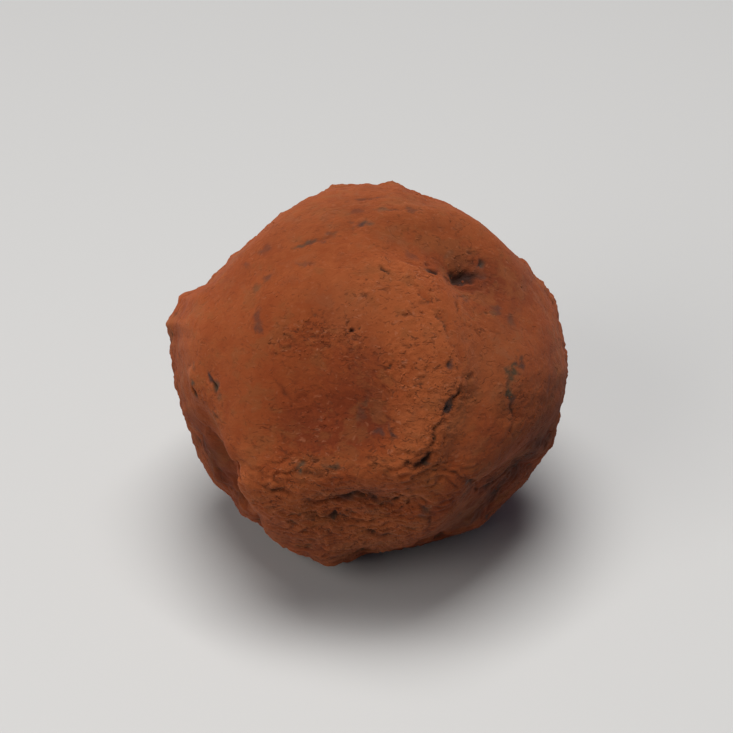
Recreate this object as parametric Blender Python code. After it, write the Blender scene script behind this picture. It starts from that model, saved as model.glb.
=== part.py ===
"""A hand-rolled chocolate truffle dusted with cocoa: one solid lump of ganache, in metres, +Z up.

The origin is on the table, under the middle of the lump. Its best side faces -Y and a little upwards.
Places on the lump are given as (clock, off), in degrees, as seen from that best side: clock runs
anticlockwise from the right (+X), and off is how far the place lies from the middle of the best side,
so 0 faces the viewer, 90 is on the outline and 180 is at the back. The flats are turned about the heart
of the lump, and all other places about the middle of its outline.
"""

import math

import bmesh
import bpy
from mathutils import Vector, noise

MM = 0.001

# Driving sizes
BALL = 14.85 * MM          # radius of the ball before it is pressed
REST_DROP = 13.5 * MM      # from the heart of the lump down to the flat spot that it rests on
BEST_SIDE_RISE = 35.0      # degrees above the table that the best side faces
CELLS = 28                 # squares along each of the ball's twelve edges
OUTLINE = 14.4 * MM        # radius of the outline seen from the best side
OUTLINE_RIGHT = -0.35 * MM # where the outline's middle lies beside the heart
OUTLINE_UP = 0.35 * MM     # and above it
NEARNESS = 0.07            # how much larger the near side of the lump looks than its outline

# Where palms pressed it flat while rolling: (clock, off), distance of the flat from the heart,
# and how softly it meets the round
FLATS = {
    "crown": ((90, 88), 14.55 * MM, 0.5 * MM),
    "upper left slope": ((132, 86), 13.5 * MM, 0.5 * MM),
    "upper left shoulder": ((116, 88), 14.2 * MM, 0.5 * MM),
    "upper right shoulder": ((67, 87), 14.3 * MM, 0.5 * MM),
    "upper right slope": ((50, 87), 13.85 * MM, 0.5 * MM),
    "right side": ((352, 88), 14.3 * MM, 0.5 * MM),
    "lower right side": ((316, 76), 12.65 * MM, 0.9 * MM),
    "under right": ((283, 84), 12.7 * MM, 0.9 * MM),
    "under left": ((250, 88), 14.25 * MM, 0.5 * MM),
    "under front": ((265, 56), 13.45 * MM, 1.2 * MM),
    "lower left": ((228, 88), 13.95 * MM, 0.5 * MM),
    "lower left side": ((212, 78), 13.5 * MM, 0.6 * MM),
    "left side": ((202, 86), 13.85 * MM, 0.5 * MM),
    "back right": ((14, 130), 14.2 * MM, 2.4 * MM),
    "back top": ((100, 124), 14.2 * MM, 2.4 * MM),
    "back left": ((172, 130), 14.2 * MM, 2.4 * MM),
    "back middle": ((60, 162), 13.9 * MM, 2.4 * MM),
}
REST_EDGE = 0.6 * MM       # how softly the flat spot below meets the round

# Where a thumb or a finger sank in: (clock, off), how wide in degrees, depth
DENTS = {
    "thumb dent": ((218, 16), 16, 1.45 * MM),
    "upper end of the thumb dent": ((147, 19), 9, 0.3 * MM),
    "right end of the thumb dent": ((285, 12), 9, 0.25 * MM),
    "hole under the brow": ((46, 45), 4.5, 0.9 * MM),
    "dimple on the right": ((20, 54), 8, 0.25 * MM),
    "under the right jaw": ((306, 65), 11, 0.65 * MM),
    "beside the left flap": ((213, 68), 8, 0.3 * MM),
    "back thumb": ((215, 140), 15, 0.9 * MM),
    "back finger": ((350, 150), 12, 0.6 * MM),
}

# Broad swellings: (clock, off), how wide in degrees, height
SWELLS = {
    "left knob": ((165, 86), 7.5, 0.6 * MM),
    "right shoulder": ((25, 86), 8, 0.1 * MM),
    "right cheek": ((0, 48), 12, 0.45 * MM),
    "right of the front lobe": ((12, 19), 10, 0.45 * MM),
    "lower left corner of the front lobe": ((226, 50), 10, 0.4 * MM),
    "back shoulder": ((130, 145), 13, 0.6 * MM),
    "back bulge": ((320, 160), 14, 0.6 * MM),
    "back left knuckle": ((205, 112), 10, 0.5 * MM),
    "back right knuckle": ((50, 118), 11, 0.45 * MM),
    "rear heel": ((255, 118), 12, 0.4 * MM),
}

# Long hollows: points as (clock, off), half their width, depth
CREASES = {
    "bowl under the brow": ([(84, 42), (68, 44), (52, 46), (38, 47), (27, 50)], 2.2 * MM, 1.05 * MM),
    "left groove": ([(188, 65), (198, 60), (208, 58.5), (216, 60), (223, 67), (230, 74), (238, 82)],
                    1.3 * MM, 0.4 * MM),
    "valley by the front lobe": ([(50, 45), (36, 40), (20, 36), (4, 35), (350, 35), (336, 33), (320, 34.5),
                                  (304, 37), (292, 38)], 1.0 * MM, 0.25 * MM),
    "crease under the lip": ([(243, 47), (254, 43), (267, 39.5), (282, 42), (298, 43)], 1.3 * MM, 0.8 * MM),
    "low crease": ([(245, 54), (257, 50), (268, 53), (288, 58)], 1.2 * MM, 0.5 * MM),
    "lower right crease": ([(332, 67), (321, 62), (314, 56), (310, 47)], 1.4 * MM, 0.6 * MM),
    "back crease": ([(120, 112), (150, 128), (180, 150), (250, 158)], 1.6 * MM, 0.5 * MM),
}

# Long swellings: points as (clock, off), half their width, height
RIDGES = {
    "brow": ([(92, 51), (78, 53), (66, 58), (52, 63), (38, 62)], 1.6 * MM, 0.5 * MM),
    "rim of the front lobe": ([(110, 33), (88, 31), (62, 27), (38, 25), (10, 25), (335, 23.5), (312, 26),
                               (288, 29), (268, 31), (244, 38), (224, 47), (207, 47), (192, 45)],
                              2.0 * MM, 0.55 * MM),
    "ridge from the knob": ([(164, 88), (161, 72), (166, 60), (178, 52)], 2.4 * MM, 0.6 * MM),
}

# Edges where one layer of ganache lies over the next. Each path keeps the lower layer on its left hand:
# points as (clock, off), drop of the lower layer, how far the drop fades out, rise of the lip
FOLDS = {
    "front flap": ([(54, 40), (38, 36.5), (20, 32.5), (6, 31.5), (355, 32), (344, 29), (336, 28), (326, 30),
                    (316, 30.5), (300, 35)], 0.6 * MM, 3.0 * MM, 0.2 * MM),
    "left flap": ([(240, 80), (232, 71.5), (225, 64), (216, 55), (207, 53.5), (197, 55), (188, 60),
                   (181, 66)], 1.2 * MM, 3.0 * MM, 0.4 * MM),
    "back flap": ([(20, 108), (350, 122), (320, 132), (290, 126)], 0.7 * MM, 3.5 * MM, 0.2 * MM),
}
FOLD_WALL = 0.8 * MM       # half the width of a fold's wall
PATH_STEPS = 4             # straight pieces between two points of a path

LEVEL = 0.001 * MM         # points this near the table lie on it

UNEVEN = 0.28 * MM         # height of the slow waves all over
WAVE = 5.0 * MM            # and their length


def best_side():
    """The directions that face the best side, and run right and up across it."""
    rise = math.radians(BEST_SIDE_RISE)
    facing = Vector((0, -math.cos(rise), math.sin(rise)))
    return facing, Vector((1, 0, 0)), Vector((0, math.sin(rise), math.cos(rise)))


def toward(clock, off):
    """The unit direction that is turned to (clock, off) about the heart."""
    facing, right, up = best_side()
    clock, off = math.radians(clock), math.radians(off)
    return math.cos(off) * facing + math.sin(off) * (math.cos(clock) * right + math.sin(clock) * up)


def seen(clock, off):
    """The unit direction from the heart to the place that is seen at (clock, off)."""
    facing, right, up = best_side()
    clock, off = math.radians(clock), math.radians(off)
    apart = OUTLINE * math.sin(off) * (1 - NEARNESS * max(math.cos(off), 0.0))
    beside = (apart * math.cos(clock) + OUTLINE_RIGHT) * right + (apart * math.sin(clock) + OUTLINE_UP) * up
    return (OUTLINE * math.cos(off) * facing + beside).normalized()


def soft_min(a, b, softness):
    """The smaller of two lengths, with the corner where they meet rounded off."""
    overlap = max(softness - abs(a - b), 0.0) / softness
    return min(a, b) - overlap * overlap * softness / 4


def flattened(radius, direction, axis, distance, edge):
    """The radius left after the lump has been pressed flat across an axis."""
    facing = direction.dot(axis)
    return soft_min(radius, distance / facing, edge) if facing > 0.5 else radius


def bump(direction, place, width, height):
    """A rounded rise that is highest at a place and fades to nothing around it."""
    angle = math.degrees(direction.angle(seen(*place)))
    return height * math.exp(-((angle / width) ** 2))


def smooth_path(places):
    """Points on the ball along a path that runs smoothly through its places."""
    ends = [seen(*place) for place in places]
    ends = [2 * ends[0] - ends[1], *ends, 2 * ends[-1] - ends[-2]]
    points = []
    for a, b, c, d in zip(ends, ends[1:], ends[2:], ends[3:]):
        for step in range(PATH_STEPS):
            t = step / PATH_STEPS
            bent = 2 * b + (c - a) * t + (2 * a - 5 * b + 4 * c - d) * t**2 + (3 * b - 3 * c + d - a) * t**3
            points.append(bent.normalized() * BALL)
    return [*points, ends[-2] * BALL]


def with_smooth_paths(forms):
    """The long forms as (points of the path, sizes...)."""
    return [(smooth_path(places), *sizes) for places, *sizes in forms.values()]


def across(direction, points):
    """The distance to a path over the ball, positive on its left hand, and the share passed."""
    here = direction * BALL
    nearest, signed, share = math.inf, 0.0, 0.0
    for index, (start, end) in enumerate(zip(points, points[1:])):
        run = end - start
        part = min(max((here - start).dot(run) / run.length_squared, 0.0), 1.0)
        gap = (here - start - part * run).length
        if gap < nearest:
            nearest = gap
            signed = math.copysign(gap, here.dot(run.cross(here - start)))
            share = (index + part) / (len(points) - 1)
    return signed, share


def taper(share):
    """Full in the middle of a path, fading to nothing at its ends."""
    return max(math.sin(math.pi * share), 0.0) ** 0.6


def ridge(direction, points, half_width, height):
    """A rounded rise along a path."""
    signed, share = across(direction, points)
    return height * taper(share) * math.exp(-((signed / half_width) ** 2))


def fold(direction, points, drop, fade, lip):
    """The step across a fold: up at its lip, down past it, and level again further off."""
    signed, share = across(direction, points)
    wall = math.tanh(signed / FOLD_WALL)
    low = (1 + wall) / 2 * drop * math.exp(-abs(signed) / fade)
    high = (1 - wall) / 2 * lip * math.exp(-abs(signed) / (fade / 2))
    return taper(share) * (high - low)


def reach(direction, creases, ridges, folds):
    """How far the surface lies from the heart of the lump in a direction."""
    radius = BALL
    for place, distance, edge in FLATS.values():
        radius = flattened(radius, direction, toward(*place), distance, edge)
    for place, width, depth in DENTS.values():
        radius -= bump(direction, place, width, depth)
    for place, width, height in SWELLS.values():
        radius += bump(direction, place, width, height)
    for points, half_width, depth in creases:
        radius -= ridge(direction, points, half_width, depth)
    for points, half_width, height in ridges:
        radius += ridge(direction, points, half_width, height)
    for points, drop, fade, lip in folds:
        radius += fold(direction, points, drop, fade, lip)
    radius += UNEVEN * noise.noise(direction * (BALL / WAVE))
    return flattened(radius, direction, Vector((0, 0, -1)), REST_DROP, REST_EDGE)


def ball_of_squares(cells):
    """A cube whose faces are cut into squares and pushed out to a unit ball, evenly spaced."""
    mesh = bmesh.new()
    bmesh.ops.create_cube(mesh, size=2)
    bmesh.ops.subdivide_edges(mesh, edges=mesh.edges[:], cuts=cells - 1, use_grid_fill=True)
    for vertex in mesh.verts:
        vertex.co = Vector(math.tan(side * math.pi / 4) for side in vertex.co).normalized()
    return mesh


def truffle_mesh():
    mesh = ball_of_squares(CELLS)
    long_forms = [with_smooth_paths(forms) for forms in (CREASES, RIDGES, FOLDS)]
    for vertex in mesh.verts:
        vertex.co = vertex.co * reach(vertex.co, *long_forms)
        if vertex.co.z < -REST_DROP + LEVEL:
            vertex.co.z = -REST_DROP
    low = Vector(min(vertex.co[side] for vertex in mesh.verts) for side in range(3))
    high = Vector(max(vertex.co[side] for vertex in mesh.verts) for side in range(3))
    print("size in mm:", [round(side / MM, 2) for side in high - low])
    foot = Vector(((low.x + high.x) / 2, (low.y + high.y) / 2, low.z))
    for vertex in mesh.verts:
        vertex.co -= foot
    bmesh.ops.recalc_face_normals(mesh, faces=mesh.faces[:])
    return mesh


def cocoa_material():
    material = bpy.data.materials.new("cocoa")
    material.use_nodes = True
    shader = material.node_tree.nodes["Principled BSDF"]
    shader.inputs["Base Color"].default_value = (0.27, 0.085, 0.04, 1)
    shader.inputs["Roughness"].default_value = 0.95
    shader.inputs["Metallic"].default_value = 0.0
    return material


def main():
    for thing in list(bpy.data.objects):
        bpy.data.objects.remove(thing)
    data = bpy.data.meshes.new("truffle")
    mesh = truffle_mesh()
    mesh.to_mesh(data)
    mesh.free()
    data.shade_smooth()
    data.materials.append(cocoa_material())
    truffle = bpy.data.objects.new("truffle", data)
    bpy.context.scene.collection.objects.link(truffle)


main()
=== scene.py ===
import math

import bmesh
import bpy
import numpy as np
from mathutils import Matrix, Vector, noise
from mathutils.bvhtree import BVHTree


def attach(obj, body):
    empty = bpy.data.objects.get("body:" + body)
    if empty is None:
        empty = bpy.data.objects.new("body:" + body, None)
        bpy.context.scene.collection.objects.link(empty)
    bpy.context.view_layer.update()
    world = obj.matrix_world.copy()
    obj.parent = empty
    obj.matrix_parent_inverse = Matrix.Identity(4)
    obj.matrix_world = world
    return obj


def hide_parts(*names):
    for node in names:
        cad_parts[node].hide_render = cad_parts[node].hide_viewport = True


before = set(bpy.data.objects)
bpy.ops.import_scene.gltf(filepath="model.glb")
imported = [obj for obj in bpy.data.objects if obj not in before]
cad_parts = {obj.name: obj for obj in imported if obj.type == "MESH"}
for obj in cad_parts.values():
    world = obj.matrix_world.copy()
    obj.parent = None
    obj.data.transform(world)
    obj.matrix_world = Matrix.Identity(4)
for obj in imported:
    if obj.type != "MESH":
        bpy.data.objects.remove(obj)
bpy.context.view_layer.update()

mm = 0.001
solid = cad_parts["truffle"]

# Places on the truffle are (clock, off) in degrees as its best side is seen from viewAway: clock runs
# anticlockwise from the right, off is 0 in the middle of the best side and 90 on its outline.
bestSideRise = math.radians(35)
facing = np.array([0, -math.cos(bestSideRise), math.sin(bestSideRise)])
up = np.array([0, math.sin(bestSideRise), math.cos(bestSideRise)])
viewAway = 205.5                         # mm
eyeRaised = 0.52                         # the eye sits this far above the outline's middle, mm
outline = 14.4                           # radius of the lump's outline, mm
middle = np.array([-0.06, 0.13, 14.14])  # of the outline, mm from the origin
heart = np.array([0.29, 0.43, 13.5])     # the skin is measured out from here
usualReach = 14.0                        # from the heart to the skin, mm

lump = {
    "cells": 128,              # squares along each edge of the ball that is drawn over the lump
    "towardBestSide": 0.42,    # how much finer the squares are on the best side
    "smoothing": 14,           # rounds of easing out the solid's flat faces
    "wander": 0.08,            # slow waves, mm
    "bumps": 0.05,             # waves of about 1.4 mm
    "skin": 0.034,             # fine unevenness everywhere
    "crumble": 0.10,           # lumpy grains where the coating is torn
    "flakes": 0.12,            # height of the small curved flakes
    "layers": 0.34,            # height of the long overlapping layers
    "outlineBumps": 0.2,       # more of the waves round the outline
    "restEase": 0.9,           # relief fades out this close to the table, mm
}


def unit(way):
    return way / np.linalg.norm(way)


def solidTree():
    shape = bmesh.new()
    shape.from_mesh(solid.data)
    bmesh.ops.scale(shape, vec=(1 / mm, 1 / mm, 1 / mm), verts=shape.verts)
    tree = BVHTree.FromBMesh(shape)
    shape.free()
    return tree


def seen(clock, off):
    # the point of the solid that shows at a place; near the outline, the one straight out from the middle
    clock, off = math.radians(clock), math.radians(off)
    around = math.cos(clock) * np.array([1.0, 0, 0]) + math.sin(clock) * up
    eye = eyeRaised * up + middle + viewAway * facing
    sight = unit(middle + outline * math.sin(off) * around - eye)
    hit = tree.ray_cast(Vector(eye), Vector(sight))[0] if off < math.radians(82) else None
    if hit is None:
        hit = tree.ray_cast(Vector(middle), Vector(math.cos(off) * facing + math.sin(off) * around))[0]
    return np.array(hit)


def toward(clock, off):
    return unit(seen(clock, off) - heart)


def ballOfSquares(cells):
    mesh = bmesh.new()
    bmesh.ops.create_cube(mesh, size=2)
    bmesh.ops.subdivide_edges(mesh, edges=mesh.edges[:], cuts=cells - 1, use_grid_fill=True)
    lean = lump["towardBestSide"] * Vector(facing)
    for vertex in mesh.verts:
        even = Vector(math.tan(side * math.pi / 4) for side in vertex.co).normalized()
        vertex.co = (even + lean).normalized()
    bmesh.ops.recalc_face_normals(mesh, faces=mesh.faces[:])
    data = bpy.data.meshes.new("dustedLump")
    mesh.to_mesh(data)
    mesh.free()
    return data


def reachOfSolid(directions):
    # how far the solid's surface lies from the heart
    hits = [tree.ray_cast(Vector(heart), Vector(way))[0] for way in directions]
    return np.linalg.norm(np.array(hits) - heart, axis=1)


def evenedOut(values, rounds):
    # each point drawn halfway to the mean of its neighbours, over and over
    count = np.bincount(edgeEnds.ravel(), minlength=len(values))
    for _ in range(rounds):
        total = np.bincount(edgeEnds[:, 0], values[edgeEnds[:, 1]], len(values))
        total += np.bincount(edgeEnds[:, 1], values[edgeEnds[:, 0]], len(values))
        values = 0.5 * values + 0.5 * total / count
    return values


def waves(points, size, seed=0.0, stretch=1.0):
    # smooth noise of about -1 to 1; stretch makes it longer from left to right
    shift = 31.7 * seed        # another part of the noise for each seed
    scaled = points * np.array([1 / (size * stretch), 1 / size, 1 / size]) + shift
    return np.array([noise.noise(Vector(point)) for point in scaled])


def wavesThreeWays(points, size, seeds):
    return np.stack([waves(points, size, seed) for seed in seeds], axis=1)


def roughness(points, size, seed, stretch=1.0, octaves=3):
    total = np.zeros(len(points))
    for octave in range(octaves):
        total += waves(points, size / 2**octave, seed + octave, stretch) / 2**octave
    return total


def bell(values):
    # 1 at 0, falling away on both sides
    return np.exp(-(values**2))


def smoothStep(low, high, values):
    share = np.clip((values - low) / (high - low), 0, 1)
    return share * share * (3 - 2 * share)


def tapered(share, power=0.5):
    # 0 at both ends of a path and 1 halfway
    return np.clip(np.sin(math.pi * share), 0, 1) ** power


def spot(place, radius):
    # 1 at a place, falling away over a radius in degrees
    return bell(np.degrees(np.arccos(np.clip(directions @ toward(*place), -1, 1))) / radius)


def blobs(places):
    return sum(strength * spot(place, radius) for place, radius, strength in places)


def reachNear(direction):
    return float(baseReach[np.argmax(directions @ direction)])


def besidePath(points, path):
    # mm from each point to a path over the lump, the share of it passed, and 1 at its left or -1 at its right
    stops = [toward(*place) for place in path]
    ends = np.array([stop * reachNear(stop) for stop in stops])
    nearest = np.full(len(points), 1e9)
    share, hand = np.zeros(len(points)), np.zeros(len(points))
    for index in range(len(ends) - 1):
        start, run = ends[index], ends[index + 1] - ends[index]
        part = np.clip((points - start) @ run / (run @ run), 0, 1)
        gap = np.linalg.norm(points - start - part[:, None] * run, axis=1)
        closer = gap < nearest
        nearest[closer] = gap[closer]
        share[closer] = (index + part[closer]) / (len(ends) - 1)
        side = np.cross(run, points[closer] - start)
        hand[closer] = np.sign(np.einsum("ij,ij->i", points[closer], side))
    return nearest, share, hand


def inPatch(points, place, halfLength, halfWidth, turn, thickness=1.5):
    # 0 in the middle of an oval place on the surface, 1 on its edge
    out = toward(*place)
    level = unit(np.cross(up, out))
    steep = np.cross(out, level)
    angle = math.radians(turn)
    long = math.cos(angle) * level + math.sin(angle) * steep
    wide = math.cos(angle) * steep - math.sin(angle) * level
    away = points - out * reachNear(out)
    return np.sqrt((away @ long / halfLength) ** 2 + (away @ wide / halfWidth) ** 2
                   + (away @ out / thickness) ** 2)


def shingles(field, riser=0.16):
    # a gentle slope down and a short step up, over and over along the field
    part = field - np.floor(field)
    return np.where(part < 1 - riser, 0.5 - part / (1 - riser), (part - 1) / riser + 0.5)


print("drawing the skin over the solid")
tree = solidTree()
skinMesh = ballOfSquares(lump["cells"])
count = len(skinMesh.vertices)
flat = np.empty(count * 3, np.float32)
skinMesh.vertices.foreach_get("co", flat)
directions = flat.reshape(-1, 3).astype(float)
edgeEnds = np.empty(len(skinMesh.edges) * 2, np.int32)
skinMesh.edges.foreach_get("vertices", edgeEnds)
edgeEnds = edgeEnds.reshape(-1, 2)
baseReach = evenedOut(reachOfSolid(directions), lump["smoothing"])
points = directions * baseReach[:, None]
warp = wavesThreeWays(points, 1.6, (40, 41, 42))
fineWarp = wavesThreeWays(points, 0.6, (43, 44, 45))
bent = points + 0.5 * warp + 0.12 * fineWarp

# where the coating is torn and crumbly: (clock, off), radius in degrees, strength
tornPlaces = [
    # lobe
    ((20, 14), 10, 0.6), ((345, 20), 9, 0.6), ((305, 32), 6, 1.3), ((318, 29), 4, 0.9),
    ((45, 26), 7, 0.6), ((345, 28), 5, 0.6), ((0, 0), 12, 0.35), ((92, 25), 4, 0.8), ((320, 20), 7, 0.5),
    # above the dent
    ((162, 28), 4, 0.6), ((154, 24), 4, 0.9), ((147, 20.5), 4, 1.0), ((139, 16.5), 3.5, 1.0),
    ((128, 12.5), 3.5, 0.9), ((110, 10), 4, 0.6), ((147, 21), 8, 0.25), ((100, 17), 6, 0.4),
    # dent and lip
    ((222, 24), 9, 0.45), ((240, 18), 7, 0.45), ((290, 25), 7, 0.7), ((200, 24), 5, 0.35),
    # bowl and brow
    ((58, 36), 6, 0.8), ((80, 33), 6, 0.6), ((45, 45), 8, 0.9),
    # right
    ((352, 50), 6, 0.6), ((24, 38), 6, 0.5),
    # lower third
    ((270, 42), 13, 0.7), ((243, 41), 9, 1.0), ((255, 55), 14, 0.8), ((285, 52), 12, 0.7),
    ((232, 50), 8, 0.6), ((270, 72), 18, 0.7),
    # lower right
    ((320, 55), 9, 0.6), ((328, 66), 8, 0.6), ((345, 66), 9, 0.5),
    # left band
    ((186, 60), 6, 0.5),
    # round the outline
    ((315, 75), 12, 0.6),
    # behind and below
    ((200, 150), 16, 0.7), ((60, 140), 14, 0.5), ((330, 120), 18, 0.6), ((130, 110), 12, 0.4),
    ((250, 115), 16, 0.8),
]

# where it overlaps in flat layers, mostly low down
layeredPlaces = [
    # lobe
    ((345, 27), 6, 0.4),
    # dent and lip
    ((300, 34), 7, 0.7),
    # top
    ((70, 62), 10, 0.3),
    # lower third
    ((265, 52), 22, 1.0), ((235, 50), 12, 0.6),
    # lower right
    ((300, 50), 14, 0.6),
    # round the outline
    ((260, 80), 20, 0.7),
    # behind and below
    ((280, 110), 30, 0.7), ((200, 120), 25, 0.6), ((20, 120), 25, 0.6), ((120, 140), 30, 0.5),
]

# smooth, thickly dusted places
smoothPlaces = [
    # dent and lip
    ((290, 10), 8, 0.3),
    # left
    ((165, 55), 14, 0.7), ((200, 36), 12, 0.7),
    # top and shoulders
    ((130, 50), 26, 0.8), ((40, 66), 12, 0.6),
    # right
    ((8, 40), 9, 0.5),
]

torn = np.clip(blobs(tornPlaces), 0, 1.3)
layered = np.clip(blobs(layeredPlaces), 0, 1)
calm = np.clip(blobs(smoothPlaces), 0, 0.9)
rough = np.clip((torn + 0.7 * layered) * (1 - 0.5 * calm) + 0.12, 0, 1.2)    # all in all


print("kneading slow forms, folds and edges")
# slow forms: (clock, off), width in degrees, height in mm
forms = [
    ((222, 24), 9, -0.2), ((267, 15), 6, -0.12), ((240, 16), 6, -0.1), ((163, 62), 6, 0.1),
]

# ridges and valleys: points as (clock, off), half width in mm, height in mm
folds = {
    "brow line": ([(77, 47), (73, 50), (67.5, 53.6), (61.5, 57.2), (55.4, 58.5), (50, 60.7)], 0.5, -0.12),
    "bowl edge": ([(77, 47), (78.6, 40), (76, 36), (68, 33.7)], 0.5, -0.1),
    "filled valley": (
        [(40, 43), (22, 38), (6, 36), (352, 36), (336, 33.5), (322, 34), (306, 38)], 1.1, 0.16),
    "above the left band": ([(178, 66), (184, 62.5), (191, 61), (197, 62)], 1.1, 0.4),
    "under the left edge": (
        [(199, 62), (203, 59), (209, 57.5), (215, 56), (220, 62), (228, 68)], 0.8, -0.45),
}

# edges of layers, with the lower layer on the left hand: points as (clock, off), half width of the wall,
# drop and how far it fades out in mm
scarps = {
    "lobe, upper right": (
        [(68, 31.5), (56, 29.5), (45, 28.5), (34, 28), (24, 27), (12, 28), (4, 30)], 0.07, 0.16, 1.0),
    "lobe, right": (
        [(358, 30), (350, 28.5), (342, 26.5), (334, 26),
         (326, 28), (316, 28.5), (306, 31.5)], 0.09, 0.14, 1.2),
    "lobe, left": ([(232, 72), (227, 66), (220, 60), (214, 56.5), (207, 57.5), (200, 60)], 0.14, 0.35, 1.3),
    "lip": ([(300, 32.5), (288, 30), (274, 28.5), (262, 28), (252, 31), (243, 35.5)], 0.06, 0.1, 0.8),
    "terrace a": ([(296, 45), (284, 44.5), (270, 43.5), (257, 46), (247, 50)], 0.09, 0.2, 1.0),
    "terrace b": ([(288, 55.5), (276, 54), (262, 57), (250, 60)], 0.08, 0.18, 0.9),
    "terrace c": ([(286, 66), (272, 65.5), (260, 68), (250, 72)], 0.08, 0.16, 0.9),
    "bowl": ([(80, 40), (70, 37.5), (60, 39), (50, 41.5)], 0.08, 0.1, 1.0),
}

# nicks and knuckles that cross the outline: clock, half width in mm, height in mm
edgeMarks = [
    (1, 0.8, 0.18), (8, 0.5, -0.12), (30, 0.4, -0.15), (35, 0.6, 0.3), (43, 0.4, -0.1), (49, 1.2, -0.13),
    (62, 0.8, 0.08), (72, 0.5, -0.1), (76, 2.2, -0.09), (81, 0.7, 0.15), (87, 0.8, -0.12),
    (110, 1.6, -0.1), (119, 0.5, 0.18), (126, 0.45, -0.56), (139, 0.6, 0.2), (150, 0.6, -0.32),
    (157.5, 0.5, 0.3), (166, 0.6, 0.28), (173, 0.6, 0.1), (192, 0.5, 0.22), (201, 0.6, -0.6),
    (214.5, 0.8, 0.4), (228, 0.7, 0.32), (234.5, 0.5, -0.6), (246, 0.4, -0.26), (252, 0.6, -0.24),
    (260, 0.6, 0.1), (269, 0.9, -0.44), (284, 2.4, -0.22), (293.3, 0.55, -0.78), (306, 0.9, 0.24),
    (320, 2.4, -0.2), (329.5, 0.6, -0.6), (337, 0.6, 0.28), (345, 1.6, -0.16), (351, 0.6, -0.08),
]

rise = lump["wander"] * waves(points, 4.2, 1)
rise += blobs(forms)
for path, halfWidth, height in folds.values():
    gap, share, _ = besidePath(points + 0.25 * warp, path)
    rise += height * bell(gap / halfWidth) * tapered(share, 0.4)

edgeDustAndShade = np.zeros(count)
for path, wall, drop, fade in scarps.values():
    gap, share, hand = besidePath(points + 0.3 * warp + 0.22 * fineWarp, path)
    low = (1 + np.tanh(hand * gap / wall)) / 2
    high = 1 - low
    uneven = tapered(share) * np.clip(0.75 + 0.9 * waves(points, 1.0, 90), 0, 1.2)
    rise += drop * uneven * (0.35 * high * np.exp(-gap / (0.5 * fade)) - low * np.exp(-gap / fade))
    # cocoa catches on the upper layer and is thin below it, painted lighter on the upper edge and painted
    # shade below its step
    edgeDustAndShade += 0.6 * uneven * (high * np.exp(-gap / fade) - 0.9 * low * np.exp(-gap / (0.6 * fade)))

for clock, halfWidth, height in edgeMarks:
    gap, share, _ = besidePath(points + 0.15 * warp, [(clock - 2, 66), (clock, 86), (clock + 1, 108)])
    rise += height * bell(gap / halfWidth) * tapered(share)
rise += lump["bumps"] * waves(bent, 1.4, 2) * (1 - 0.5 * calm)
rise += lump["skin"] * roughness(bent, 0.8, 3, 1.3) * (1 - 0.6 * calm)


print("laying flakes and layers")
flaky = np.clip(rough, 0, 1)
patches = smoothStep(-0.1, 0.35, waves(points, 1.9, 50))
flakes = shingles(2.4 * waves(bent, 1.5, 51) + 0.5 * waves(bent, 0.5, 52), 0.12)
rise += lump["flakes"] * flakes * flaky * (0.2 + 0.8 * patches)
otherPatches = smoothStep(-0.1, 0.3, waves(points, 1.3, 54))
smallFlakes = shingles(2.0 * waves(bent, 0.9, 53, 1.3) + 0.4 * waves(bent, 0.35, 55), 0.2)
rise += 0.6 * lump["flakes"] * smallFlakes * flaky * otherPatches

steps = bent[:, 2] / 1.3 + 1.9 * waves(bent, 2.4, 15, 1.8) + 0.7 * waves(bent, 0.8, 16, 1.7)
broken = smoothStep(-0.3, 0.3, waves(bent, 1.7, 17, 1.5))
rise += lump["layers"] * shingles(steps, 0.2) * layered * (0.25 + 0.75 * broken)
thinSteps = bent[:, 2] / 0.6 + 1.6 * waves(bent, 1.3, 18, 2.0)
rise += 0.4 * lump["layers"] * shingles(thinSteps, 0.25) * layered * (1 - 0.7 * broken)

grains = np.abs(waves(bent, 0.62, 11, 1.2)) + 0.5 * np.abs(waves(bent, 0.34, 12, 1.2)) - 0.35
rise += lump["crumble"] * np.clip(torn, 0, 1.2) * (1 - 0.6 * layered) * 1.6 * grains

edgeOn = smoothStep(0.35, 0.1, np.abs(directions @ facing))    # 1 round the outline
ragged = sum(share * waves(bent, size, seed)
             for size, seed, share in ((2.4, 63, 1.0), (1.1, 60, 0.9), (0.55, 61, 0.7), (0.3, 62, 0.4)))
rise += edgeOn * (lump["outlineBumps"] * ragged - 0.03)


print("cutting cracks and holes")
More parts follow.
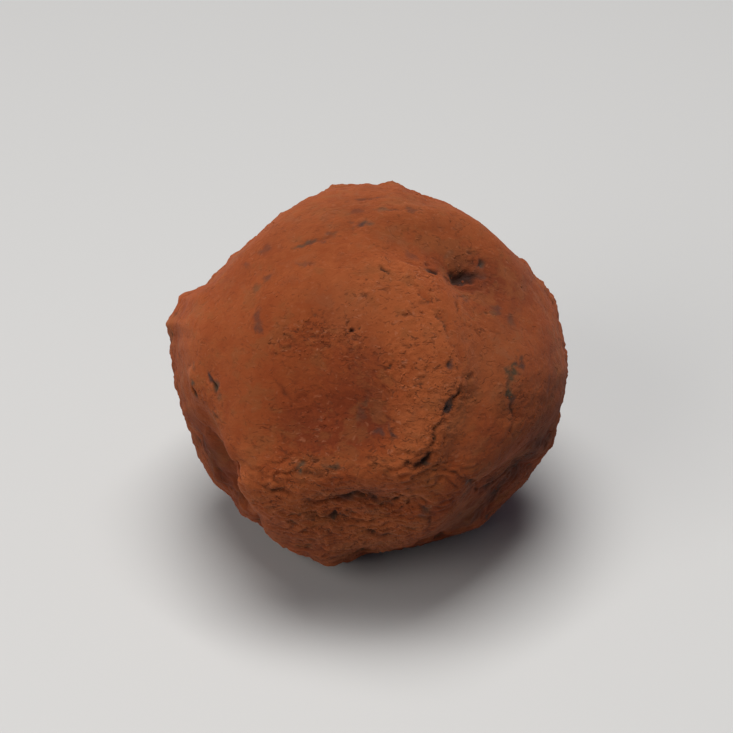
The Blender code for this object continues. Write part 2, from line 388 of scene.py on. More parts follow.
# cracks: points as (clock, off), half width in mm, depth in mm
cracks = {
    "step": (
        [(359, 34), (357.5, 32.5), (352.7, 30.6), (348.8, 29.6),
         (342.4, 28.1), (336.2, 27.1), (332.5, 30.5)], 0.12, 0.3),
    "step foot": (
        [(326.4, 28.8), (321.3, 27.9), (317, 29), (311.4, 31.9), (305, 33.5), (296.5, 33)], 0.13, 0.3),
    "under the lip": ([(302, 32.5), (296, 31), (284.7, 28.6), (273.6, 26.8), (260.3, 26.4)], 0.11, 0.2),
    "wide crease": (
        [(243, 47.5), (248.5, 45.7), (256.3, 42), (265, 38.8),
         (273.9, 40.3), (278.6, 42.3), (288, 42)], 0.26, 0.34),
    "second crease": ([(247, 53), (252.2, 51.9), (257.8, 48.6), (264.3, 49.3), (274, 50.5)], 0.18, 0.22),
    "third crease": ([(264, 52.5), (269.1, 54.2), (273, 57.5), (282, 60)], 0.18, 0.26),
    "low crease": ([(262, 66), (270, 67.6), (284, 67.4)], 0.18, 0.22),
    "lip left": ([(253, 33.5), (246, 34.8), (239, 37.5), (233, 41)], 0.14, 0.24),
    "left ledge": ([(240, 46.5), (235.4, 48.8), (231.4, 51.8), (227.7, 52.1)], 0.14, 0.26),
    "jaw crease": (
        [(309, 47), (313.1, 50.3), (314.3, 57.4), (320.5, 62), (325.9, 63.1), (331, 64)], 0.26, 0.38),
    "cheek crease": (
        [(359, 47.6), (353.7, 47.5), (349, 50), (343.9, 52.7), (338.5, 53), (335.1, 58.7)], 0.14, 0.15),
    "right arc": ([(290.8, 37.4), (291.1, 45.5), (294.3, 53), (291.8, 60.8), (292.3, 67.1)], 0.14, 0.18),
    "corner": ([(309, 31.5), (303.3, 34.1), (296.7, 32.5)], 0.3, 0.22),
    "bowl crack": ([(61, 37.2), (59.4, 38.1), (56.9, 39.8), (53.6, 41.3)], 0.14, 0.26),
    "below the hole": ([(37.4, 41.4), (38.9, 38.5), (36.7, 35.8), (33, 34.5)], 0.13, 0.26),
    "above the hole": ([(50.5, 56), (49, 57.3), (46.7, 59.9)], 0.12, 0.18),
    "rim nick": ([(10.3, 26.8), (5.3, 25.1), (2.5, 24.4)], 0.13, 0.3),
    "rim line a": ([(49.9, 30.7), (51.6, 26.5)], 0.09, 0.22),
    "rim line b": ([(57, 21.4), (55.3, 21.6), (47.8, 22.4)], 0.09, 0.24),
    "rim line c": ([(41.5, 13.8), (35, 15), (29.6, 16.8)], 0.09, 0.22),
    "rim line d": ([(15.2, 16.7), (16, 18.7), (12, 20)], 0.09, 0.24),
    "rim line e": ([(26, 9.4), (15.5, 7.3), (25.8, 5.1)], 0.09, 0.2),
    "rim line f": ([(84, 34.8), (79.3, 33.1), (74.2, 31.7)], 0.09, 0.2),
    "right line": ([(22.1, 37.8), (19.8, 39.5)], 0.09, 0.15),
    "top line a": ([(94, 64.5), (92.1, 64.8), (89.5, 65.8), (85.6, 64.7)], 0.11, 0.12),
    "top line b": ([(87.1, 59.2), (81.9, 59.4), (77.6, 61.4), (72.6, 63.3)], 0.1, 0.09),
    "upper line": ([(117.4, 48.6), (112.5, 47.7), (106.6, 47.1), (102.1, 49)], 0.11, 0.12),
    "dent line a": ([(185.4, 28.1), (190, 26.4), (196.8, 23.8)], 0.11, 0.15),
    "dent line b": ([(196.8, 23.8), (204.3, 25.8)], 0.1, 0.12),
    "dent line c": ([(150, 22), (143, 19), (143.9, 15), (135, 10.8)], 0.11, 0.16),
    "dent line d": ([(236.7, 16.7), (239.2, 19.2)], 0.1, 0.12),
    "fold on the left": ([(195.2, 55), (198.7, 53.2)], 0.12, 0.2),
    "front nick": ([(94.6, 25.1), (87.4, 23.4)], 0.09, 0.2),
}

# holes: (clock, off), half length and half width in mm, turn in degrees from level, depth in mm
holes = {
    "big hole": ((44, 45.8), 1.3, 0.52, -16, 0.4),
    "hole above": ((43.6, 55.7), 0.36, 0.24, 20, 0.22),
    "hole beside": ((57, 39.7), 0.55, 0.3, -10, 0.14),
    "pinhole": ((108.6, 13.2), 0.16, 0.16, 0, 0.3),
    "chip left a": ((185.9, 62), 0.24, 0.42, 15, 0.42),
    "chip left b": ((184.5, 52.5), 0.2, 0.75, 25, 0.22),
    "step chip": ((337.5, 27.2), 0.12, 0.3, -35, 0.13),
    "torn corner": ((303, 33.6), 0.24, 0.3, 30, 0.16),
    "dark under": ((257, 49), 0.5, 0.2, 10, 0.1),
}

# short cracks scattered over the rough places, each with one lifted lip, in mm
shortCracks = {
    "howMany": 620,
    "length": (0.4, 1.7),
    "halfWidth": (0.055, 0.10),
    "depth": (0.04, 0.14),
    "tilt": 0.55,              # how far they turn from level, radians
    "bow": 0.45,               # how much they curve
    "lip": 0.4,                # its height against the depth
}

# and round pits
pits = {"howMany": 300, "radius": (0.06, 0.15), "depth": (0.04, 0.14)}

shade = np.zeros(count)        # painted shade inside what is cut
jitter = 0.10 * waves(points, 0.55, 21) + 0.05 * waves(points, 0.28, 22)
for path, halfWidth, depth in cracks.values():
    gap, share, _ = besidePath(points + 0.28 * warp + 0.2 * fineWarp, path)
    cut = np.exp(-((np.abs(gap + jitter) / halfWidth) ** 1.6))
    cut *= tapered(share) * (0.75 + 0.6 * waves(points, 0.9, 23))
    rise -= depth * cut
    shade += 0.85 * cut * min(depth / 0.2, 1)

for place, halfLength, halfWidth, turn, depth in holes.values():
    edge = inPatch(points + 0.3 * fineWarp, place, halfLength, halfWidth, turn) + 0.6 * jitter / halfWidth
    sunk = 1 - smoothStep(0.35, 1.2, edge)
    rise -= depth * sunk
    shade += 0.9 * sunk

random = np.random.default_rng(8)
for _ in range(shortCracks["howMany"]):
    out = unit(random.normal(size=3))
    level = unit(np.cross([0, 0, 1.0], out))
    steep = np.cross(out, level)
    tilt = random.normal(0, shortCracks["tilt"])
    length = random.uniform(*shortCracks["length"])
    halfWidth = random.uniform(*shortCracks["halfWidth"])
    depth = random.uniform(*shortCracks["depth"])
    bow = random.normal(0, shortCracks["bow"])
    nearby = np.nonzero(directions @ out > math.cos(length / usualReach))[0]
    if not len(nearby) or random.uniform(0.2, 1.1) > rough[nearby].mean():
        continue
    here = points[nearby] - out * reachNear(out) + 0.16 * fineWarp[nearby] + 0.1 * warp[nearby]
    along = here @ (math.cos(tilt) * level + math.sin(tilt) * steep)
    over = here @ (math.cos(tilt) * steep - math.sin(tilt) * level)
    over = over + bow * along**2 + jitter[nearby]
    inside = smoothStep(1, 0.3, np.abs(along) / (length / 2)) * (0.6 + 0.9 * waves(points[nearby], 0.4, 24))
    inside = np.clip(inside, 0, 1)
    cut = np.exp(-((np.abs(over) / halfWidth) ** 1.5)) * inside
    lifted = bell((over - 1.8 * halfWidth) / (1.3 * halfWidth)) * inside
    rise[nearby] += depth * (shortCracks["lip"] * lifted - cut)
    shade[nearby] += 3.2 * depth * cut

for _ in range(pits["howMany"]):
    out = unit(random.normal(size=3))
    radius = random.uniform(*pits["radius"])
    depth = random.uniform(*pits["depth"])
    nearby = np.nonzero(directions @ out > math.cos(3 * radius / usualReach))[0]
    if not len(nearby) or random.uniform(0.1, 1.1) > rough[nearby].mean():
        continue
    away = np.linalg.norm(points[nearby] - out * reachNear(out), axis=1) + jitter[nearby]
    cut = bell(away / radius)
    rise[nearby] -= depth * cut
    shade[nearby] += 3.0 * depth * cut


print("rubbing off the cocoa where bare chocolate shows")
# bare chocolate: (clock, off), half length, half width in mm, turn, strength
barePlaces = [
    # lobe
    ((6, 25.5), 0.14, 0.42, -15, 0.65), ((337.2, 27.2), 0.18, 0.42, -30, 0.8),
    ((342, 28), 0.18, 0.3, -30, 0.45), ((303.3, 34.1), 0.3, 0.2, 0, 0.45),
    # dent and lip
    ((292.7, 20.9), 0.26, 0.16, 0, 0.6), ((281.7, 18.7), 0.25, 0.2, 0, 0.55),
    ((293.3, 17.9), 0.15, 0.3, 0, 0.35), ((271, 8.8), 0.22, 0.5, 0, 0.3),
    ((261.1, 12.6), 0.22, 0.5, 0, 0.3), ((248.7, 31.3), 0.7, 0.14, -4, 0.6),
    # left
    ((150.5, 40.3), 0.3, 0.55, -10, 0.4), ((156.4, 37.9), 0.28, 0.55, 10, 0.5),
    ((185.9, 62), 0.24, 0.42, 0, 0.9), ((181, 54.2), 0.16, 0.45, 20, 0.7),
    ((185.1, 52), 0.24, 0.42, 20, 0.7), ((188.7, 50.6), 0.2, 0.3, 20, 0.4),
    ((177.8, 62.8), 0.3, 0.15, 20, 0.35), ((195.2, 55), 0.2, 0.3, 30, 0.35),
    # top and shoulders
    ((117.4, 48.6), 0.45, 0.2, 25, 0.65), ((111.5, 47.6), 0.55, 0.18, 25, 0.55),
    ((104, 48.4), 0.45, 0.16, 25, 0.35), ((92.5, 50.1), 0.5, 0.26, 10, 0.6),
    ((130.4, 55.8), 0.4, 0.36, 40, 0.35), ((137.8, 56.8), 0.4, 0.3, 0, 0.3),
    ((121, 41.1), 0.5, 0.22, 0, 0.3), ((117.8, 39.6), 0.3, 0.2, 0, 0.25),
    ((136, 45.5), 0.45, 0.25, 40, 0.4), ((142.9, 45.9), 0.3, 0.5, 0, 0.35),
    ((92, 65), 0.6, 0.16, 5, 0.5), ((88, 66), 0.7, 0.16, 0, 0.4), ((94, 57), 0.7, 0.15, 0, 0.25),
    ((82, 59.6), 0.95, 0.16, -5, 0.35), ((74, 62.5), 0.6, 0.16, -10, 0.3),
    # bowl and brow
    ((68.6, 41.3), 0.4, 0.3, 0, 0.25), ((44, 45.8), 1.25, 0.34, -16, 0.4),
    ((43.6, 55.7), 0.36, 0.22, 20, 0.65), ((58, 39), 0.5, 0.2, -10, 0.4),
    ((55.5, 49.8), 0.4, 0.25, 0, 0.25), ((38, 40), 0.2, 0.5, -20, 0.4),
    ((25.8, 48.2), 0.45, 0.3, 20, 0.4),
    # right
    ((20.3, 53), 0.4, 0.3, 0, 0.35), ((2.1, 50.4), 0.24, 0.5, 0, 0.85),
    ((0.6, 47.2), 0.22, 0.4, 20, 0.7), ((4.2, 54.4), 0.2, 0.4, 0, 0.6),
    ((353.7, 47.5), 0.2, 0.45, 10, 0.8), ((351.3, 50.2), 0.22, 0.4, 10, 0.7),
    ((355.5, 71.5), 0.2, 0.6, 0, 0.25),
    # lower third
    ((234.9, 36.8), 0.5, 0.22, 10, 0.65), ((257, 49), 0.4, 0.2, 10, 0.35),
    ((293, 52), 0.25, 0.8, 0, 0.35), ((262, 40), 1.4, 0.25, 0, 0.25), ((276, 41.5), 0.8, 0.2, 0, 0.25),
    # lower right
    ((313.1, 50.3), 0.3, 0.22, -40, 0.45), ((304.8, 62.4), 0.35, 0.3, 0, 0.35),
    ((318, 60), 0.4, 0.3, 0, 0.35),
]

bare = np.zeros(count)
patchy = 0.6 * waves(points, 0.6, 30) + 0.5 * waves(points, 0.28, 31)
for place, halfLength, halfWidth, turn, strength in barePlaces:
    edge = inPatch(points + 0.4 * fineWarp, place, halfLength * 1.3, halfWidth * 1.3, turn) + patchy
    bare = np.maximum(bare, strength * (1 - smoothStep(0.2, 1.25, edge)))
# stray spots where it faces away from the best side
strayBare = smoothStep(0.62, 0.8, waves(bent, 1.5, 33) + 0.25 * waves(bent, 0.4, 34))
behind = smoothStep(0.17, -0.17, directions @ facing)
bare = np.maximum(bare, 0.6 * strayBare * behind)
rise -= 0.04 * bare

overTable = points[:, 2] + heart[2]
rise *= smoothStep(0.0, lump["restEase"], overTable)
surface = directions * (baseReach + rise)[:, None] + heart
surface[:, 2] = np.maximum(surface[:, 2], 0)
skinMesh.vertices.foreach_set("co", (surface * mm).astype(np.float32).ravel())
skinMesh.update()
skinMesh.shade_smooth()


print("dusting it")
# how thickly the cocoa lies, with painted light and shade mixed in: (clock, off), radius in degrees, above 0
# for thick or painted lighter and below 0 for thin or painted shade
dustAndPaintedLightPlaces = [
    # lobe; the places at clock 330, off 25 to 31, are painted light on the valley wall
    ((60, 25), 13, 0.6), ((52, 15), 8, 0.45), ((330, 18), 8, 0.7), ((332, 31), 7, 0.9),
    ((330, 25), 8, 0.3), ((50, 4), 8, -0.35), ((330, 27), 6, 0.3), ((90, 4), 8, -0.2),
    ((92, 28), 12, 0.55), ((20, 22), 9, 0.5), ((340, 21), 8, 0.5), ((312, 25), 7, 0.4),
    # above the dent
    ((180, 4), 8, -0.2), ((180, 18), 8, 0.2), ((147, 19), 8, -0.4), ((120, 9), 8, -0.15),
    # dent and lip
    ((300, 28), 6, 0.4), ((300, 12), 8, -0.35), ((246, 29), 7, 0.35), ((275, 28), 6, 0.35),
    ((215, 5), 6, 0.25), ((240, 22), 10, -0.4), ((270, 32), 5, 0.3), ((222, 24), 11, -0.8),
    ((268, 15), 9, -0.9), ((235, 12), 9, -0.5),
    # left
    ((168, 55), 12, 0.25), ((215, 46), 7, 0.4), ((195, 40), 8, 0.2),
    # top and shoulders
    ((90, 66), 14, -0.25), ((135, 62), 16, -0.25), ((125, 35), 14, 0.3), ((30, 66), 8, -0.3),
    # bowl and brow; the thin places round the hole are partly painted shade
    ((38, 35), 6, -0.1), ((35, 54), 8, -0.25), ((60, 41), 6, -0.3), ((45, 42), 7, -0.15),
    ((44, 46), 8, -0.7), ((30, 50), 9, -0.65), ((70, 58), 7, 0.3),
    # right
    ((0, 40), 7, 0.25), ((0, 64), 7, 0.2), ((358, 49), 5, -0.2),
    # lower third; the place at (300, 39) is painted light
    ((300, 39), 7, 0.95), ((240, 45), 9, 0.7), ((270, 52), 8, 0.4), ((270, 60), 9, 0.6),
    ((268, 48), 6, 0.25), ((240, 51), 7, 0.25), ((240, 67), 7, -0.15), ((267, 41), 7, -0.4),
    # lower right, painted shade
    ((300, 53), 6, -0.8), ((318, 66), 14, -0.9), ((335, 72), 10, -0.7), ((300, 66), 10, -0.95),
    ((325, 42), 9, -0.4),
    # left band, painted shade
    ((210, 66), 9, -0.95), ((198, 70), 8, -0.6), ((224, 72), 7, -0.7),
    # round the outline, painted shade
    ((0, 80), 14, -0.35), ((30, 76), 8, -0.4), ((330, 78), 8, -0.4), ((240, 78), 7, -0.4),
    ((255, 75), 14, -0.4), ((290, 90), 20, -0.6),
    # behind and below
    ((270, 130), 40, -0.3), ((30, 150), 25, 0.2),
]

# tint of the dust: (clock, off), radius in degrees, above 0 for redder and below 0 for greyer
tintPlaces = [
    # lobe
    ((30, 10), 12, 0.2), ((60, 4), 8, -0.3),
    # above the dent
    ((170, 20), 14, 0.6), ((120, 17), 10, -0.7),
    # dent and lip
    ((200, 30), 20, 0.9), ((250, 25), 14, 0.6), ((300, 16), 7, -0.35),
    # top and shoulders
    ((90, 66), 18, -0.4), ((120, 60), 14, -0.3), ((60, 66), 12, -0.25),
    # bowl and brow
    ((35, 60), 16, -0.2),
    # right
    ((5, 45), 14, -0.55), ((355, 72), 12, -0.4), ((0, 64), 8, 0.3),
    # lower third
    ((265, 72), 16, -0.5), ((240, 68), 8, -0.4),
    # lower right
    ((335, 62), 12, 0.6), ((300, 66), 9, -0.5),
    # left band
    ((215, 62), 14, 0.8),
    # round the outline
    ((275, 78), 16, -0.4), ((300, 76), 8, -0.6),
]

# painted shade where the lump turns away from the lamps or lies in its own shadow: (clock, off), radius in
# degrees, strength
paintedShadePlaces = [
    # lobe
    ((304, 33), 3, 0.25), ((340, 27), 2.5, 0.3),
    # dent and lip
    ((269, 16), 6, 0.12), ((222, 24), 8, 0.1),
    # bowl and brow
    ((42, 44), 4, 0.3), ((49, 49), 3, 0.4),
    # right
    ((348, 51), 3, 0.2), ((348, 46), 3, 0.25),
    # lower third
    ((270, 38.5), 4, 0.5), ((262, 40), 3.5, 0.45), ((279, 40), 3.5, 0.25), ((258, 50), 3.5, 0.3),
    ((276, 59), 3, 0.3),
    # lower right
    ((318, 65), 10, 0.45), ((302, 66), 8, 0.3), ((336, 70), 9, 0.4), ((327, 56), 5, 0.2),
    ((311, 53), 3.5, 0.7), ((320, 59), 3.5, 0.6), ((329, 67), 4, 0.5),
    # left band
    ((212, 69), 8, 0.35), ((196, 62), 4, 0.15),
    # round the outline
    ((222, 77), 7, 0.6), ((203, 78), 7, 0.55), ((330, 82), 10, 0.45), ((210, 84), 8, 0.3),
    ((357, 80), 9, 0.15), ((215, 88), 5, 0.35), ((228, 88), 5, 0.35), ((250, 88), 5, 0.25),
    ((265, 88), 5, 0.35), ((280, 88), 5, 0.4), ((293, 88), 5, 0.4), ((305, 88), 5, 0.4),
    ((317, 88), 5, 0.4), ((329, 88), 5, 0.4), ((341, 88), 5, 0.4), ((354, 89), 5, 0.25),
]

dustAndPaintedLight = blobs(dustAndPaintedLightPlaces) + edgeDustAndShade
tint = blobs(tintPlaces)
# painted shade: the places above, broken up, and the shade inside what is cut
broken = 0.8 + 0.6 * waves(points, 0.9, 80) + 0.4 * waves(points, 0.4, 81)
paintedShade = blobs(paintedShadePlaces) * broken + shade
# above 0.5 in hollows and below it on bumps, small and large ones together; the shader uses it to paint shade
# into hollows and light onto bumps
hollow = 0.5 + 2.2 * (evenedOut(rise, 4) - rise) + 1.6 * (evenedOut(rise, 30) - rise)


def store(mesh, name, values):
    # kept at each point for the cocoa's shader to read
    kept = np.clip(values, 0, 1) * np.ones(len(mesh.vertices))
    mesh.attributes.new(name, "FLOAT", "POINT").data.foreach_set("value", kept.astype(np.float32))


for name, values in {"paintedShade": paintedShade, "bare": bare, "rough": rough, "hollow": hollow,
                     "dustAndPaintedLight": 0.5 + 0.5 * dustAndPaintedLight, "tint": 0.5 + 0.5 * tint}.items():
    store(skinMesh, name, values)
truffle = bpy.data.objects.new("dustedLump", skinMesh)
bpy.context.scene.collection.objects.link(truffle)


print("scattering crumbs")
crumbs = {
    "howMany": 1300,
    "length": (0.08, 0.26),      # mm
    "width": (0.4, 0.8),         # against the length
    "flatness": (0.3, 0.6),      # thickness against the length
    "sunk": 0.45,                # share of the thickness that is buried
    "tilt": 0.35,                # how far they lean, radians
    "fine": 0.2,                 # crumbs longer than this are made of smaller faces, mm
}


def chip(size, seed):
    # a small broken lump
    shape = bmesh.new()
    bmesh.ops.create_icosphere(shape, subdivisions=2 if size[0] > crumbs["fine"] else 1, radius=0.5)
    for vertex in shape.verts:
        coarse = noise.noise(vertex.co * 3.1 + Vector((seed, 0, 0)))
        fine = noise.noise(vertex.co * 7.3 + Vector((0, seed, 0)))
        rugged = 1 + 0.45 * coarse + 0.2 * fine
        vertex.co = Vector(side * length * rugged for side, length in zip(vertex.co, size))
    corners = [vertex.co.copy() for vertex in shape.verts]
    faces = [[corner.index for corner in face.verts] for face in shape.faces]
    shape.free()
    return corners, faces


def leaned(corner, tilt, spin, lift):
    # tilted over, turned round and lifted
    x, y, z = corner
    x, z = x * math.cos(tilt) - z * math.sin(tilt), x * math.sin(tilt) + z * math.cos(tilt)
    x, y = x * math.cos(spin) - y * math.sin(spin), x * math.sin(spin) + y * math.cos(spin)
    return Vector((x, y, z + lift))


skinTree = BVHTree.FromPolygons([Vector(point) for point in surface],
                                [tuple(face.vertices) for face in skinMesh.polygons])
crumbPoints, crumbFaces, crumbDustAndPaintedLight, crumbTint = [], [], [], []
chance = np.clip(torn, 0.05, 1.0) ** 1.3
chance = chance * smoothStep(0.4, 1.5, overTable) * (0.4 + smoothStep(-0.1, 0.3, waves(points, 1.2, 70)))
chance = chance * np.bincount(edgeEnds.ravel())    # four squares meet at most points and three at a few
for index in random.choice(count, crumbs["howMany"], p=chance / chance.sum()):
    length = random.uniform(*crumbs["length"]) * random.uniform(0.6, 1.0)
    width = length * random.uniform(*crumbs["width"])
    thickness = length * random.uniform(*crumbs["flatness"])
    near, out, _, _ = skinTree.find_nearest(Vector(surface[index]))
    turned = out.to_track_quat("Z", "Y").to_matrix()
    spin = random.uniform(0, 2 * math.pi)
    tilt = random.normal(0, crumbs["tilt"])
    lift = (0.5 - crumbs["sunk"]) * thickness
    corners, faces = chip((length, width, thickness), float(index))
    first = len(crumbPoints)
    crumbPoints += [(near + turned @ leaned(corner, tilt, spin, lift)) * mm for corner in corners]
    crumbFaces += [[first + corner for corner in face] for face in faces]
    crumbDustAndPaintedLight += [0.6 + 0.5 * dustAndPaintedLight[index]] * len(corners)
    crumbTint += [0.5 + 0.5 * tint[index]] * len(corners)
crumbMesh = bpy.data.meshes.new("crumbs")
crumbMesh.from_pydata(crumbPoints, [], crumbFaces)
crumbMesh.shade_smooth()
for name, values in {"dustAndPaintedLight": crumbDustAndPaintedLight, "tint": crumbTint, "hollow": 0.5, "rough": 0.3}.items():
    store(crumbMesh, name, np.maximum(values, 0.05))
crumbPile = bpy.data.objects.new("crumbs", crumbMesh)
bpy.context.scene.collection.objects.link(crumbPile)


class Wire:
    # a node's output that can be used in sums
    def __init__(self, tree, socket=None):
        self.tree = tree
        self.socket = socket

    def node(self, kind, settings=(), inputs=(), output=0):
        made = self.tree.nodes.new(kind)
        for name, value in dict(settings).items():
            setattr(made, name, value)
        for name, value in dict(inputs).items():
            if isinstance(value, Wire):
                self.tree.links.new(value.socket, made.inputs[name])
            else:
                made.inputs[name].default_value = value
        return Wire(self.tree, made.outputs[output])

    def math(self, operation, *values):
        return self.node("ShaderNodeMath", {"operation": operation}, dict(enumerate(values)))

    def vectorMath(self, operation, inputs):
        return self.node("ShaderNodeVectorMath", {"operation": operation}, inputs)

    def __add__(self, other):
        return self.math("ADD", self, other)

    def __radd__(self, other):
        return self.math("ADD", other, self)

    def __sub__(self, other):
        return self.math("SUBTRACT", self, other)

    def __rsub__(self, other):
        return self.math("SUBTRACT", other, self)

    def __mul__(self, other):
        return self.math("MULTIPLY", self, other)

    def __rmul__(self, other):
        return self.math("MULTIPLY", other, self)

    def clipped(self):
        return self.node("ShaderNodeClamp", {}, {"Value": self})

    def size(self):
        return self.math("ABSOLUTE", self)

    def between(self, low, high):
        return self.node("ShaderNodeMapRange", {"interpolation_type": "SMOOTHSTEP"},
                         {"Value": self, "From Min": low, "From Max": high})

    def mixed(self, first, second):
        # first where this is 0, second where it is 1
        return self.node("ShaderNodeMix", {"data_type": "RGBA"}, {0: self, 6: first, 7: second}, 2)


cocoaLook = {
    "thick": (0.325, 0.0820, 0.0225, 1),     # dry, heavy dusting, also used for painted light
    "powder": (0.262, 0.0575, 0.0134, 1),
    "thin": (0.132, 0.0228, 0.0064, 1),      # where ganache shows through the dust, also used for painted shade
    "ruddy": (0.235, 0.040, 0.0080, 1),      # redder blotches
    "tawny": (0.235, 0.070, 0.020, 1),       # and yellower ones
    "ashy": (0.240, 0.076, 0.030, 1),        # greyer dust
    "fleckAndHighlight": (0.40, 0.150, 0.075, 1),        # pale crumbs of dust, partly painted highlights on lit crumb tops
    "crack": (0.050, 0.0125, 0.0046, 1),     # inside cracks and specks, also the colour of the painted shade
    "bareOlive": (0.080, 0.044, 0.021, 1),   # chocolate with the cocoa rubbed off, in two tints
    "bareViolet": (0.046, 0.024, 0.020, 1),
    "powderRough": 0.95,
    "bareRough": 0.5,
    "specular": 0.15,
    "grain": 0.5,                            # strength of the finest relief
    "grainHeight": 0.0002,                   # metres
    "dustySheen": 0.03,
    "sheenRough": 0.6,
}


def cocoaMaterial(name, look):
    material = bpy.data.materials.new(name)
    material.use_nodes = True
    tree = material.node_tree
    shader = tree.nodes["Principled BSDF"]
    start = Wire(tree)
    place = start.node("ShaderNodeTexCoord", {}, {}, "Object")
    place = start.vectorMath("SCALE", {0: place, "Scale": 1 / mm})

    def clouds(size, detail=2.0, roughness=0.5, where=None, shift=0.0, output=0):
        # 0 to 1, in waves of a size in mm
        moved = start.vectorMath("ADD", {0: where or place, 1: (shift, shift, shift)})
        return start.node("ShaderNodeTexNoise", {}, {
            "Vector": moved, "Scale": 1 / size, "Detail": detail, "Roughness": roughness}, output)

    def drawn(name):
        return start.node("ShaderNodeAttribute", {"attribute_name": name}, {}, "Fac")

    def line(size, width, shift):
        # thin winding lines, 1 in their middle
        return 1.0 - (clouds(size, 2.0, 0.5, flatter, shift) - 0.5).size().between(0.0, width)

    wobble = clouds(0.9, 2.0, 0.5, output=1)
    # places pushed about by up to 0.8 mm, and those drawn out from left to right
    wobbled = start.vectorMath("MULTIPLY_ADD", {0: wobble, 1: (0.8, 0.8, 0.8), 2: place})
    flatter = start.vectorMath("MULTIPLY", {0: wobbled, 1: (0.6, 1.0, 1.3)})
    paintedShade, bare, rough, hollow, dustAndPaintedLight, tint = (
        drawn(name) for name in ("paintedShade", "bare", "rough", "hollow", "dustAndPaintedLight", "tint"))

    # how deep the powder lies, from thin over ganache to thick and dry, thinner in hollows and thicker on
    # bumps as painted shade and light
    blotches = clouds(3.0, 3.0, 0.55)
    mottle = clouds(0.8, 3.0, 0.6, wobbled)
    grains = clouds(0.2, 3.0, 0.7, flatter)
    depth = dustAndPaintedLight + 0.6 * (blotches - 0.5) + (0.45 + 0.4 * rough) * (mottle - 0.5) - 0.9 * (hollow - 0.5)
    depth = depth + (0.3 + 0.5 * rough) * (grains - 0.5)
    low = (2.0 * depth).clipped().mixed(look["thin"], look["powder"])
    powder = (2.0 * depth - 1.0).clipped().mixed(low, look["thick"])

    # redder, yellower and greyer places
    hues = clouds(2.3, 2.0, 0.55, wobbled, 7.0) + 0.5 * (clouds(0.7, 3.0, 0.6, flatter, 15.0) - 0.5)
    redder = 0.6 * hues.between(0.50, 0.66) + 0.8 * (0.5 - dustAndPaintedLight) + 0.9 * (tint - 0.5)
    ruddy = start.node("ShaderNodeMix", {"data_type": "RGBA"}, {0: 0.5, 6: low, 7: look["ruddy"]}, 2)
    powder = redder.clipped().mixed(powder, ruddy)
    powder = (0.5 * hues.between(0.48, 0.34)).mixed(powder, look["tawny"])
    ashes = clouds(1.6, 3.0, 0.6, wobbled, 51.0).between(0.52, 0.68) * (1.0 - tint)
    powder = (1.1 * (0.5 - tint) + 0.5 * ashes).clipped().mixed(powder, look["ashy"])

    # pale flecks that are partly painted highlights, dark specks, fine lines, and olive smudges that are
    # partly painted shade in hollows
    flecksAndHighlights = clouds(0.33, 2.0, 0.6, flatter, 3.0)
    powder = ((0.12 + 0.35 * rough) * flecksAndHighlights.between(0.60, 0.72)).mixed(powder, look["fleckAndHighlight"])
    specks = (0.2 + 0.45 * rough) * clouds(0.28, 2.0, 0.6, flatter, 11.0).between(0.60, 0.70)
    powder = specks.clipped().mixed(powder, look["crack"])
    patches = clouds(1.2, 2.0, 0.5, shift=5.0).between(0.44, 0.56)
    otherPatches = clouds(0.9, 2.0, 0.5, shift=9.0).between(0.46, 0.58)
    torn = clouds(0.5, 2.0, 0.5, shift=27.0).between(0.42, 0.56)
    lines = line(2.0, 0.022, 21.0) * patches * torn + 0.8 * line(1.2, 0.03, 33.0) * otherPatches * torn
    lines = (lines * (0.3 + 0.7 * rough)).clipped()
    powder = (0.5 * lines).mixed(powder, look["crack"])
    smudgesAndShade = hollow.between(0.57, 0.88) * clouds(0.9, 3.0, 0.6, flatter, 41.0).between(0.42, 0.60)
    powder = (0.75 * smudgesAndShade.clipped()).mixed(powder, look["bareOlive"])
    # painted shade in cracks, holes, pits and the shaded places
    powder = paintedShade.clipped().mixed(powder, look["crack"])

    # bare chocolate, broken up at its edges
    bareHere = (bare * (1.25 + 1.8 * (mottle - 0.5) + 1.4 * (grains - 0.5))).clipped()
    bareColour = hues.between(0.42, 0.58).mixed(look["bareOlive"], look["bareViolet"])
    colour = bareHere.mixed(powder, bareColour)
    roughness = look["powderRough"] - (look["powderRough"] - look["bareRough"]) * bareHere

    # the finest relief
    fine = clouds(0.13, 2.0, 0.6)
    coarse = clouds(0.4, 4.0, 0.62, flatter)
    height = (0.15 + 0.65 * rough) * fine + (0.35 + 1.1 * rough) * coarse - 0.8 * lines + 0.3 * flecksAndHighlights
    bump = start.node("ShaderNodeBump", {}, {
        "Height": height, "Strength": look["grain"], "Distance": look["grainHeight"]})

    for name, wire in {"Base Color": colour, "Roughness": roughness, "Normal": bump}.items():
        tree.links.new(wire.socket, shader.inputs[name])
    shader.inputs["Diffuse Roughness"].default_value = 1.0
    shader.inputs["Specular IOR Level"].default_value = look["specular"]
    shader.inputs["Sheen Weight"].default_value = look["dustySheen"]
    shader.inputs["Sheen Roughness"].default_value = look["sheenRough"]
    return material


print("mixing the cocoa")
cocoa = cocoaMaterial("cocoa powder", cocoaLook)
for piece in (truffle, crumbPile):
    piece.data.materials.append(cocoa)
    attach(piece, "root")
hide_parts("truffle")


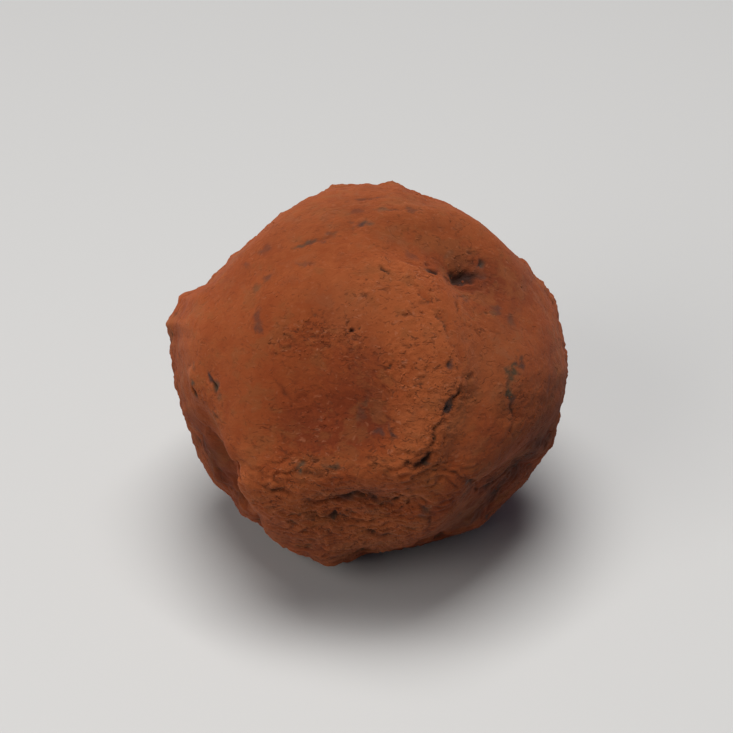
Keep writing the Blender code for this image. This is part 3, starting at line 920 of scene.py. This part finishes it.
print("setting up the studio")
studio = {
    "floor": (0.55, 0.55, 0.545, 1),
    "floorReach": 3.0,                   # metres each way
    "floorRough": 0.8,
    "floorShine": 0.1,
    "lamps": {                           # place in metres, side of the square, watts, colour
        "overhead": ((-0.01, -0.01, 0.45), 0.26, 2.2, (1.0, 0.99, 0.97)),
        "frontLeft": ((-0.26, -0.26, 0.26), 0.26, 0.72, (1.0, 0.97, 0.92)),
    },
    "sky": (0.7, 0.7, 0.9, 1),
    "skyPower": 0.09,
    "lens": 135.0,
}

reach = studio["floorReach"]
floorMesh = bpy.data.meshes.new("floor")
floorMesh.from_pydata([(-reach, -reach, 0), (reach, -reach, 0), (reach, reach, 0), (-reach, reach, 0)],
                      [], [(0, 1, 2, 3)])
floor = bpy.data.objects.new("floor", floorMesh)
bpy.context.scene.collection.objects.link(floor)
paint = bpy.data.materials.new("floor")
paint.use_nodes = True
paintShader = paint.node_tree.nodes["Principled BSDF"]
paintShader.inputs["Base Color"].default_value = studio["floor"]
paintShader.inputs["Roughness"].default_value = studio["floorRough"]
paintShader.inputs["Specular IOR Level"].default_value = studio["floorShine"]
floorMesh.materials.append(paint)

aim = Vector((middle + eyeRaised * up) * mm)


def aimed(thing, place):
    thing.location = place
    thing.rotation_mode = "QUATERNION"
    thing.rotation_quaternion = (aim - Vector(place)).to_track_quat("-Z", "Y")
    bpy.context.scene.collection.objects.link(thing)


for name, (place, side, power, colour) in studio["lamps"].items():
    lamp = bpy.data.lights.new(name, "AREA")
    lamp.shape = "SQUARE"
    lamp.size = side
    lamp.energy = power
    lamp.color = colour
    aimed(bpy.data.objects.new(name, lamp), place)

world = bpy.data.worlds.new("studio")
world.use_nodes = True
background = world.node_tree.nodes["Background"]
background.inputs["Color"].default_value = studio["sky"]
background.inputs["Strength"].default_value = studio["skyPower"]
bpy.context.scene.world = world
bpy.context.scene.view_settings.view_transform = "Standard"

camera = bpy.data.objects.new("camera", bpy.data.cameras.new("camera"))
camera.data.lens = studio["lens"]
camera.data.clip_start = 0.01
aimed(camera, aim + Vector(facing * viewAway * mm))
bpy.context.scene.camera = camera
